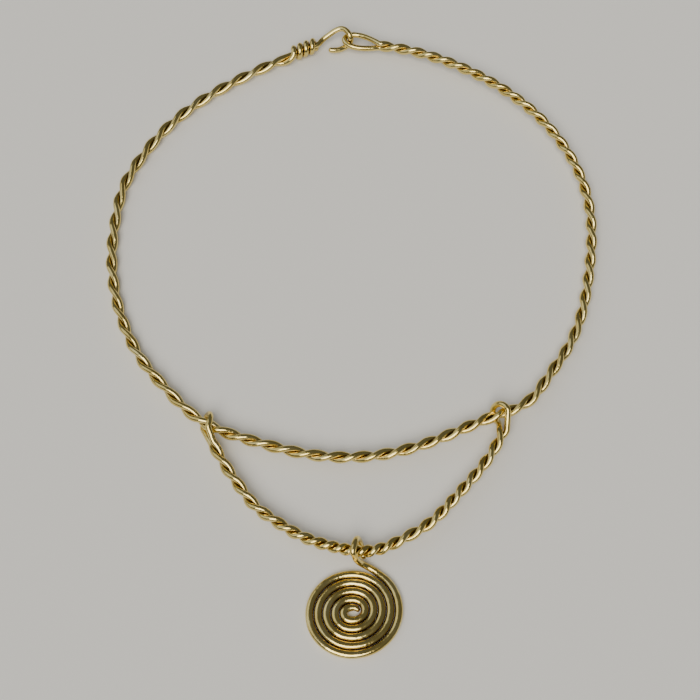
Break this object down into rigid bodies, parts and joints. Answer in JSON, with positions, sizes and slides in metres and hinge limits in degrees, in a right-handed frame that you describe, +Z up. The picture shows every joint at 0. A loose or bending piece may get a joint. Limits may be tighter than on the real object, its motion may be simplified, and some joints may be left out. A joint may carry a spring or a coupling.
{
  "type": "gold torc",
  "caption": "Gold torc: a neck ring of twisted double wire that closes with a hook and an eye, with a twisted-wire swag across its front and a flat spiral pendant on the swag.",
  "frame": {"origin": "middle of the outline on the table that the torc lies on, front side up", "axes": "+Z up from the table, +Y from the pendant towards the clasp, +X to the right seen from above with the clasp at the top"},
  "size_m": [0.1348, 0.1848, 0.0076],
  "materials": {
    "gold_wire": "polished"
  },
  "bodies": {
    "root": {"neck_ring": "gold_wire", "swag": "gold_wire", "pendant": "gold_wire"}
  },
  "joints": []
}
